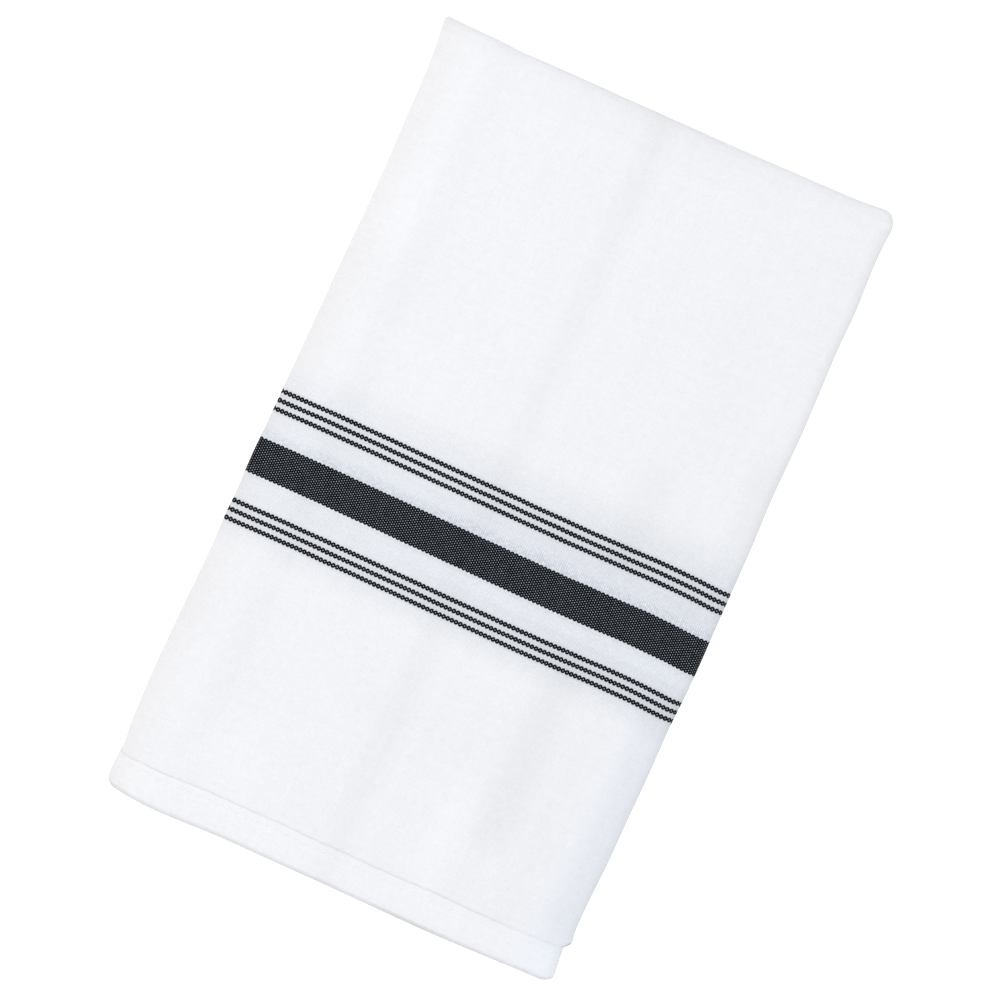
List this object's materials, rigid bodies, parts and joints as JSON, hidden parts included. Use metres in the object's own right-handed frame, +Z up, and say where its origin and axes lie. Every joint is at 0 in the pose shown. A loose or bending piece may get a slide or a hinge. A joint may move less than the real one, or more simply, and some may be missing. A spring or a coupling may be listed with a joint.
{
  "type": "folded cloth napkin",
  "caption": "Hemmed woven table napkin with a bistro stripe, folded lengthwise and then crosswise into a flat oblong stack.",
  "frame": {"origin": "under the middle of the folded outline, on the surface that the napkin rests on", "axes": "+X across the folded napkin, along its stripes, towards the outer side fold; +Y lengthwise, from the end hems to the crosswise fold; +Z up"},
  "size_m": [0.1406, 0.2396, 0.0135],
  "materials": {
    "woven_cotton": "matte plain weave, white with yarn-dyed near-black stripes"
  },
  "bodies": {
    "root": {"napkin_cloth": "woven_cotton"}
  },
  "joints": []
}
